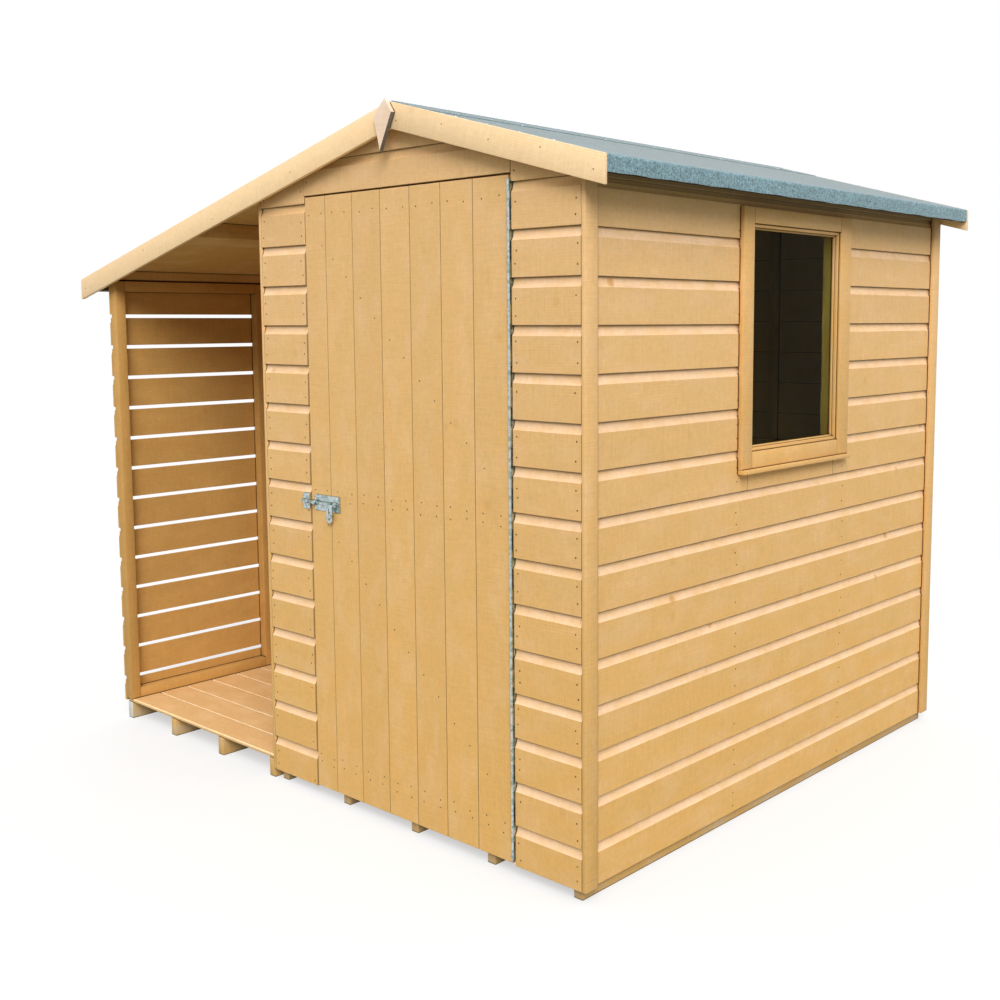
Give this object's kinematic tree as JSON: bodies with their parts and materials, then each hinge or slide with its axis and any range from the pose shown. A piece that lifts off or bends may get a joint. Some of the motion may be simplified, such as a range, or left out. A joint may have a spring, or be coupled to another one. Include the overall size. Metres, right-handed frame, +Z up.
{
  "type": "wooden garden shed with an open log store",
  "caption": "Gable-front timber garden shed in shiplap cladding, with a hinged door, a side window and an open slatted log store under one roof.",
  "frame": {"origin": "on the ground, at the centre of the shed's outline seen from above", "axes": "+Z up, +X the window side, +Y the back, so the door and gable face -Y"},
  "size_m": [2.332, 1.9, 1.936],
  "materials": {
    "bearer_timber": "treated",
    "dipped_cladding": "dipped honey",
    "door_boards": "dipped honey",
    "finial_wood": "bare",
    "floor_boards": "dipped honey",
    "galvanised_steel": "galvanised",
    "planed_trim": "dipped honey",
    "roof_boards": "dipped honey",
    "roofing_felt": "mineral surface",
    "sawn_frame": "sawn, dipped honey",
    "store_slats": "dipped honey",
    "window_glass": "clear"
  },
  "bodies": {
    "shed": {"bearers": "bearer_timber", "bolt_keep": "galvanised_steel", "corner_strips": "dipped_cladding", "fascia_left": "planed_trim", "fascia_right": "planed_trim", "felt_left": "roofing_felt", "felt_right": "roofing_felt", "finial": "finial_wood", "front_gable": "dipped_cladding", "front_wall_left": "dipped_cladding", "front_wall_right": "dipped_cladding", "hinge_leaf_frame": "galvanised_steel", "hinge_pin": "galvanised_steel", "partition_rails": "sawn_frame", "partition_studs": "sawn_frame", "partition_wall": "dipped_cladding", "rear_wall": "dipped_cladding", "roof_battens": "sawn_frame", "roof_boards_left": "roof_boards", "roof_boards_right": "roof_boards", "shed_floor": "floor_boards", "shed_posts": "sawn_frame", "shed_rails": "sawn_frame", "store_floor": "floor_boards", "store_posts": "sawn_frame", "store_purlin": "sawn_frame", "store_rear_rails": "sawn_frame", "store_rear_slats": "store_slats", "store_side_rails": "sawn_frame", "store_side_slats": "store_slats", "store_wall_batten": "sawn_frame", "window_beads": "planed_trim", "window_casing": "planed_trim", "window_glass": "window_glass", "window_sash": "planed_trim", "window_sill": "planed_trim", "window_trimmers": "sawn_frame", "window_wall": "dipped_cladding", "window_wall_rails": "sawn_frame", "window_wall_studs": "sawn_frame"},
    "door": {"door_boards": "door_boards", "door_ledges": "sawn_frame", "door_braces": "sawn_frame", "hinge_leaf_door": "galvanised_steel", "bolt_plate": "galvanised_steel"},
    "bolt": {"bolt_rod": "galvanised_steel"}
  },
  "joints": [
    {"name": "door_hinge", "type": "hinge", "parent": "shed", "child": "door", "pos_m": [0.852, -0.91, 0.88], "axis": [0, 0, 1], "range_deg": [0, 150]},
    {"name": "bolt_slide", "type": "slide", "parent": "door", "child": "bolt", "axis": [-1, 0, 0], "range_m": [0, 0.048]}
  ]
}
